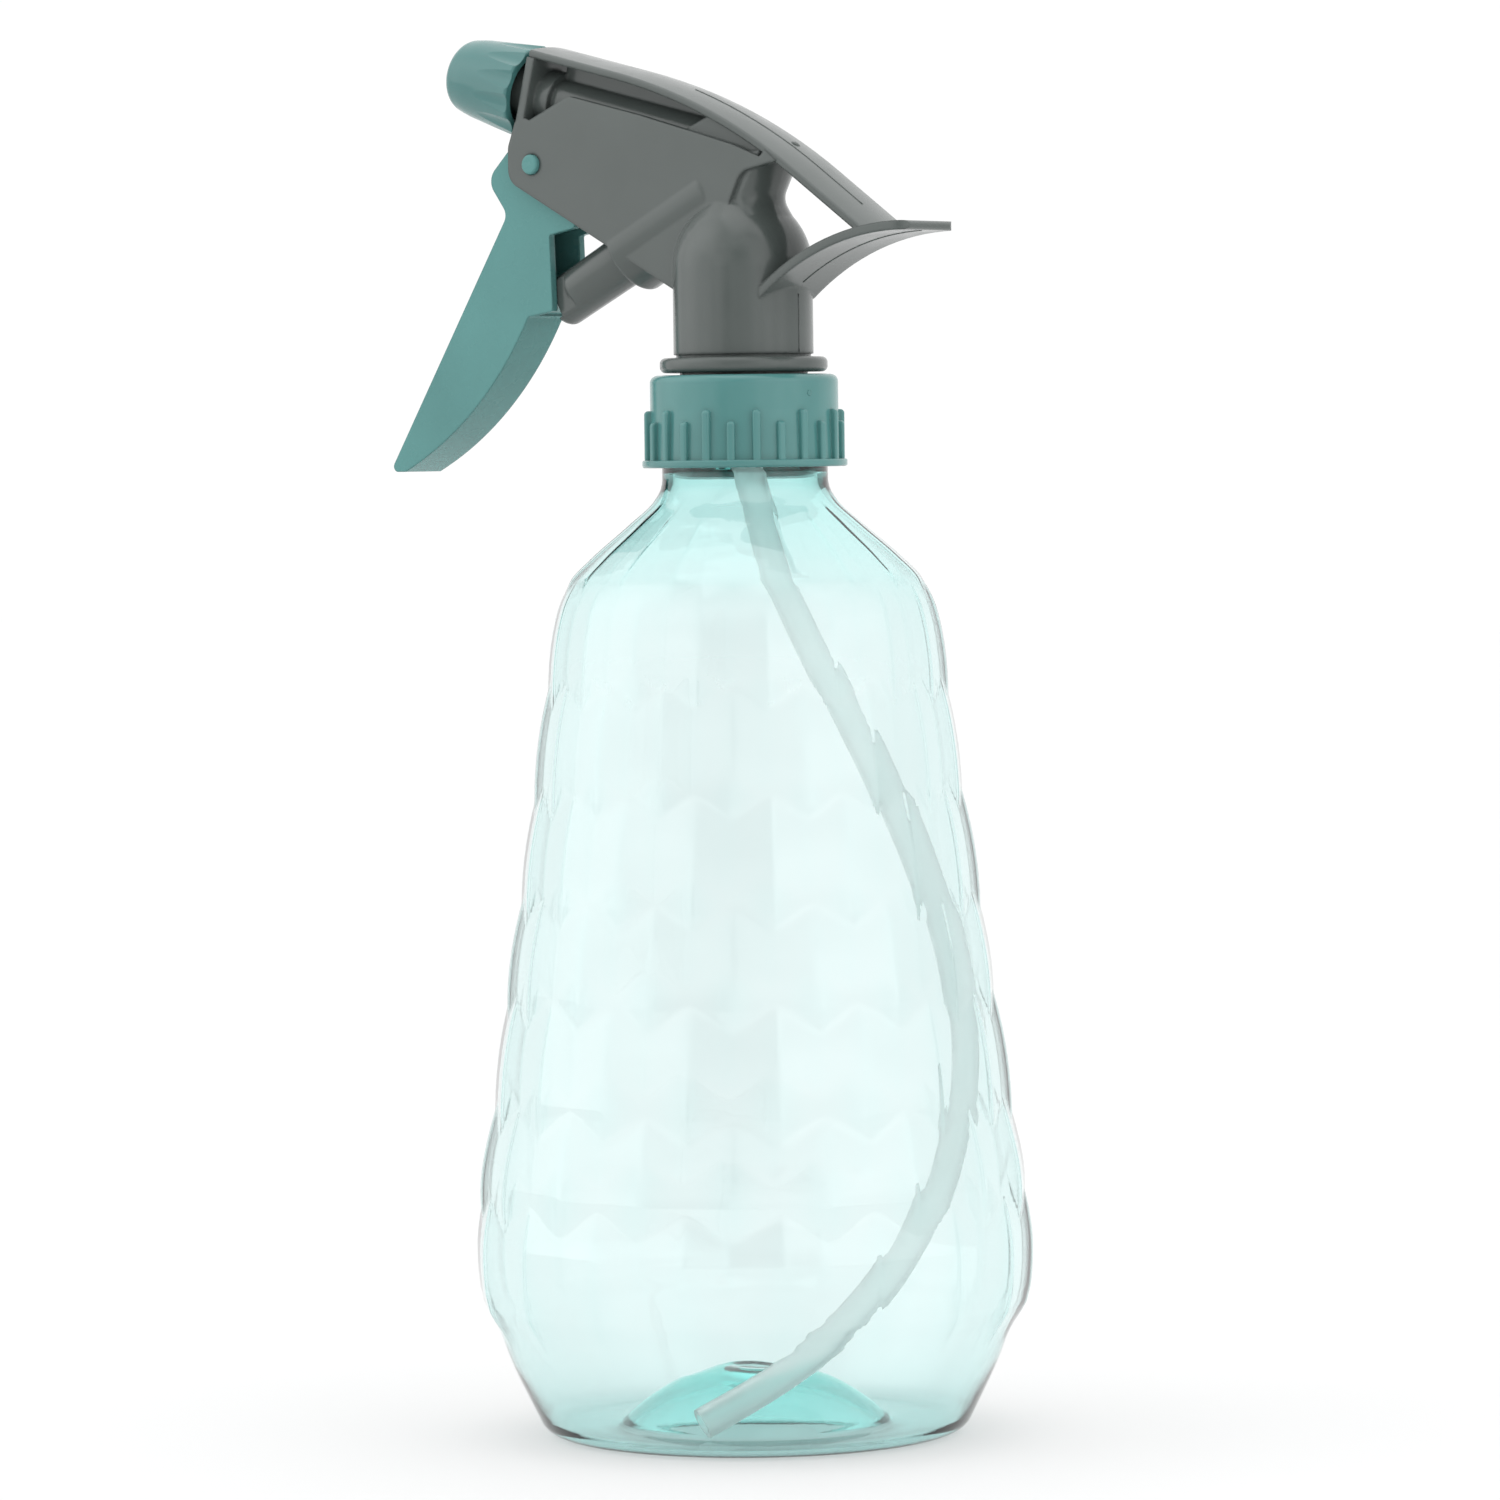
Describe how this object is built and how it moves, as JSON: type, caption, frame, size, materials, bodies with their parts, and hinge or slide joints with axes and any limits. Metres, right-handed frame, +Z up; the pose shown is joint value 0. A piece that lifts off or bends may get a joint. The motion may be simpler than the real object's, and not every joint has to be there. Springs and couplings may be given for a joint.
{
  "type": "hand mister",
  "caption": "Trigger spray bottle: faceted clear bottle with a curved dip tube, ribbed screw cap, grey pump head with hand rest, teal trigger and turning nozzle.",
  "frame": {"origin": "on the bottle's axis, on the plane that it stands on", "axes": "+Z up along the bottle's axis; the nozzle and trigger point along -X; the hand rest points along +X"},
  "size_m": [0.1134, 0.0884, 0.2225],
  "materials": {
    "bottle_pet": "clear, faintly teal PET, glossy, with flat facets",
    "tube_plastic": "translucent milky polyethylene",
    "teal_plastic": "opaque grey-teal polypropylene, satin gloss",
    "grey_plastic": "opaque dark grey polypropylene, satin gloss",
    "white_plastic": "natural white polypropylene",
    "seal_rubber": "soft pale elastomer",
    "spring_steel": "drawn stainless wire",
    "valve_ball": "polished stainless ball"
  },
  "bodies": {
    "bottle": {"bottle": "bottle_pet"},
    "head": {"sprayer_body": "grey_plastic", "stem_connector": "white_plastic", "stem_o_ring": "seal_rubber", "neck_gasket": "seal_rubber", "inlet_ball_retainer": "white_plastic", "dip_tube": "tube_plastic", "outlet_spring_stop": "white_plastic", "outlet_spring": "spring_steel", "return_spring": "spring_steel", "swirl_insert": "white_plastic", "nozzle_o_ring": "seal_rubber"},
    "cap": {"closure_cap": "teal_plastic"},
    "trigger": {"trigger": "teal_plastic"},
    "piston": {"piston": "grey_plastic", "piston_cup_seal": "seal_rubber", "piston_vent_seal": "seal_rubber"},
    "inlet_valve": {"inlet_ball": "valve_ball"},
    "outlet_valve": {"outlet_ball": "valve_ball"},
    "nozzle_seal": {"nozzle_gasket": "seal_rubber"},
    "nozzle": {"nozzle_cap": "teal_plastic"}
  },
  "joints": [
    {"name": "head_lift", "type": "slide", "parent": "bottle", "child": "head", "axis": [0, 0, 1], "range_m": [0, 0.00635]},
    {"name": "cap_turn", "type": "hinge", "parent": "head", "child": "cap", "pos_m": [0, 0, 0.16], "axis": [0, 0, 1], "range_deg": [0, 540]},
    {"name": "trigger_pull", "type": "hinge", "parent": "head", "child": "trigger", "pos_m": [-0.0378, 0, 0.2017], "axis": [0, -1, 0], "range_deg": [0, 18], "stiffness_Nm_per_rad": 0.3, "springref_deg": -20.05},
    {"name": "piston_slide", "type": "slide", "parent": "head", "child": "piston", "axis": [0.891, 0, 0.454], "range_m": [0, 0.00655], "deforming": ["return_spring"]},
    {"name": "inlet_ball_lift", "type": "slide", "parent": "head", "child": "inlet_valve", "axis": [0, 0, 1], "range_m": [0, 0.0015]},
    {"name": "outlet_ball_lift", "type": "slide", "parent": "head", "child": "outlet_valve", "axis": [-0.9703, 0, 0.2419], "range_m": [0, 0.0011], "stiffness_N_per_m": 100, "springref_m": -0.002, "deforming": ["outlet_spring"]},
    {"name": "nozzle_advance", "type": "slide", "parent": "head", "child": "nozzle_seal", "axis": [-0.9703, 0, 0.2419], "range_m": [-0.00031, 0.0025]},
    {"name": "nozzle_turn", "type": "hinge", "parent": "nozzle_seal", "child": "nozzle", "pos_m": [-0.0418, 0, 0.2134], "axis": [-0.9703, 0, 0.2419], "range_deg": [-45, 360]}
  ],
  "couplings": [
    {"joint": "cap_turn", "follows": "head_lift", "rad_per_m": 1484.3},
    {"joint": "piston_slide", "follows": "trigger_pull", "m_per_rad": 0.02079},
    {"joint": "nozzle_turn", "follows": "nozzle_advance", "rad_per_m": 2513.3}
  ]
}
